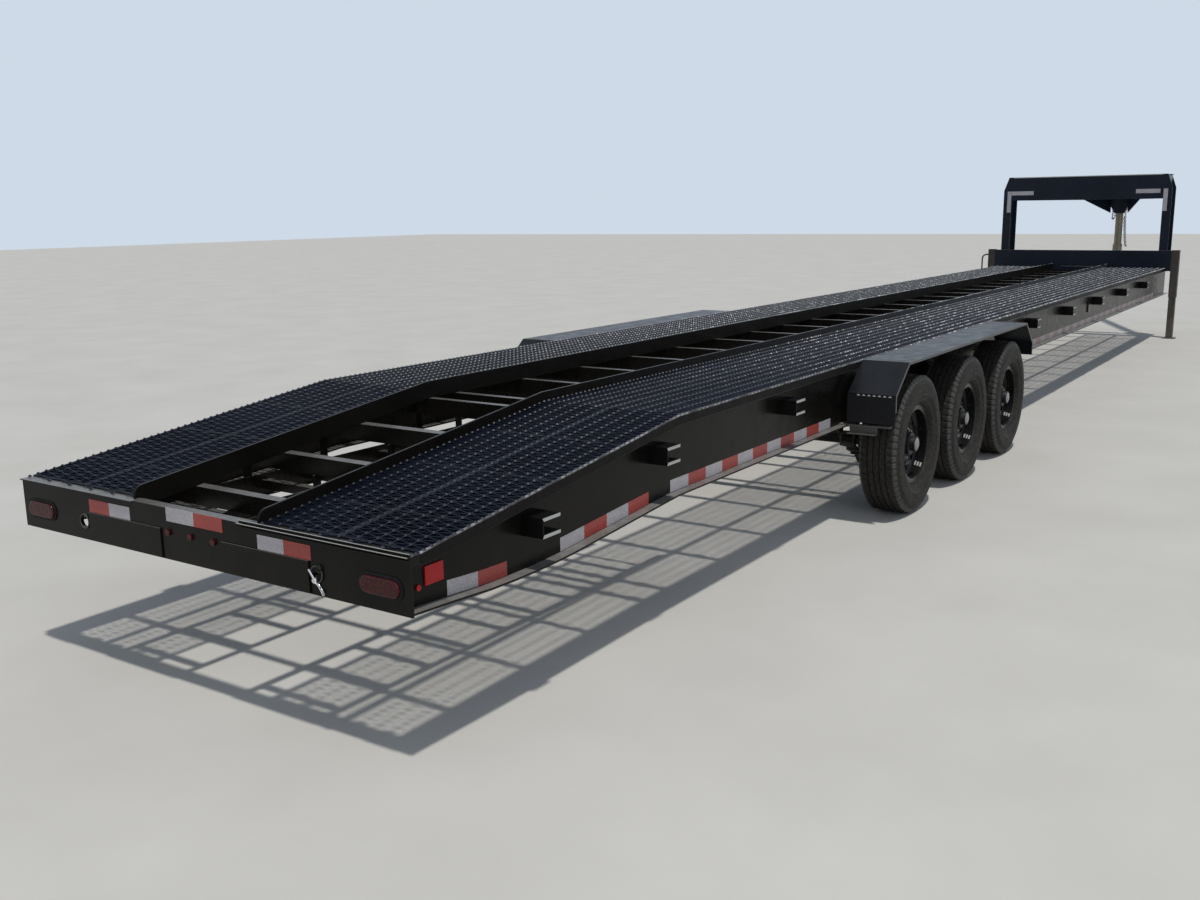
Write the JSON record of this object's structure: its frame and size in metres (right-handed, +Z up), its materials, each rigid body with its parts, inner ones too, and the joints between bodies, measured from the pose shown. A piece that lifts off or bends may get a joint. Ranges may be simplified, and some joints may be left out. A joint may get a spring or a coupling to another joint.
{
  "type": "gooseneck car hauler trailer",
  "caption": "Three-axle gooseneck car hauler trailer with an open centre, grated wheel runners, a low dovetail, slide-in ramps and two landing jacks",
  "frame": {"origin": "on the ground, at the middle of the overall length and width", "axes": "+X forward to the gooseneck coupler, +Y to the trailer's left, +Z up"},
  "size_m": [16.4371, 2.59, 2.05],
  "materials": {
    "black_paint": "gloss powder coat",
    "tyre": "matte rubber",
    "wheel_paint": "gloss black",
    "hub_chrome": "bright cap on a bare hub",
    "grating": "worn black paint on steel",
    "spring_steel": "satin black",
    "red_lamp": "ribbed red lens",
    "amber_lamp": "amber lens",
    "rubber": "matte",
    "bare_steel": "zinc plated"
  },
  "bodies": {
    "root": {"amber_markers": "amber_lamp", "axles": "black_paint", "coupler": "bare_steel", "cross_stubs": "black_paint", "crossmembers": "black_paint", "deck_runner_left": "grating", "deck_runner_right": "grating", "equalizers": "spring_steel", "fender_left": "black_paint", "fender_right": "black_paint", "flap_brackets": "black_paint", "front_beam": "black_paint", "header": "black_paint", "inner_rails": "black_paint", "jack_crank": "black_paint", "jack_drive_shaft": "black_paint", "jack_tube_left": "black_paint", "jack_tube_right": "black_paint", "lamp_grommets": "rubber", "marker_lamps": "red_lamp", "mud_flaps": "rubber", "neck_arm_left": "black_paint", "neck_arm_right": "black_paint", "nose_housing": "black_paint", "portal_beam": "black_paint", "ramp_guides": "black_paint", "rear_panel": "black_paint", "riser_left": "black_paint", "riser_right": "black_paint", "shackles": "spring_steel", "side_beam_left": "black_paint", "side_beam_right": "black_paint", "spring_hangers": "spring_steel", "springs_left": "spring_steel", "springs_right": "spring_steel", "tail_lamps": "red_lamp"},
    "wheel_rear_left": {"tyre_rear_left": "tyre", "rim_rear_left": "wheel_paint", "hub_rear_left": "hub_chrome"},
    "wheel_rear_right": {"tyre_rear_right": "tyre", "rim_rear_right": "wheel_paint", "hub_rear_right": "hub_chrome"},
    "wheel_middle_left": {"tyre_middle_left": "tyre", "rim_middle_left": "wheel_paint", "hub_middle_left": "hub_chrome"},
    "wheel_middle_right": {"tyre_middle_right": "tyre", "rim_middle_right": "wheel_paint", "hub_middle_right": "hub_chrome"},
    "wheel_front_left": {"tyre_front_left": "tyre", "rim_front_left": "wheel_paint", "hub_front_left": "hub_chrome"},
    "wheel_front_right": {"tyre_front_right": "tyre", "rim_front_right": "wheel_paint", "hub_front_right": "hub_chrome"},
    "leg_left": {"jack_leg_left": "black_paint"},
    "leg_right": {"jack_leg_right": "black_paint"},
    "ramp_left": {"ramp_left": "black_paint"},
    "ramp_right": {"ramp_right": "black_paint"}
  },
  "joints": [
    {"name": "wheel_rear_left_turn", "type": "hinge", "parent": "root", "child": "wheel_rear_left", "pos_m": [-4.34625, 1.1675, 0.391], "axis": [0, 1, 0], "continuous": true},
    {"name": "wheel_rear_right_turn", "type": "hinge", "parent": "root", "child": "wheel_rear_right", "pos_m": [-4.34625, -1.1675, 0.391], "axis": [0, 1, 0], "continuous": true},
    {"name": "wheel_middle_left_turn", "type": "hinge", "parent": "root", "child": "wheel_middle_left", "pos_m": [-3.40625, 1.1675, 0.391], "axis": [0, 1, 0], "continuous": true},
    {"name": "wheel_middle_right_turn", "type": "hinge", "parent": "root", "child": "wheel_middle_right", "pos_m": [-3.40625, -1.1675, 0.391], "axis": [0, 1, 0], "continuous": true},
    {"name": "wheel_front_left_turn", "type": "hinge", "parent": "root", "child": "wheel_front_left", "pos_m": [-2.46625, 1.1675, 0.391], "axis": [0, 1, 0], "continuous": true},
    {"name": "wheel_front_right_turn", "type": "hinge", "parent": "root", "child": "wheel_front_right", "pos_m": [-2.46625, -1.1675, 0.391], "axis": [0, 1, 0], "continuous": true},
    {"name": "jack_left_slide", "type": "slide", "parent": "root", "child": "leg_left", "axis": [0, 0, 1], "range_m": [0, 0.42]},
    {"name": "jack_right_slide", "type": "slide", "parent": "root", "child": "leg_right", "axis": [0, 0, 1], "range_m": [0, 0.42]},
    {"name": "ramp_left_slide", "type": "slide", "parent": "root", "child": "ramp_left", "axis": [-1, 0, 0], "range_m": [0, 1.7]},
    {"name": "ramp_right_slide", "type": "slide", "parent": "root", "child": "ramp_right", "axis": [-1, 0, 0], "range_m": [0, 1.7]}
  ]
}
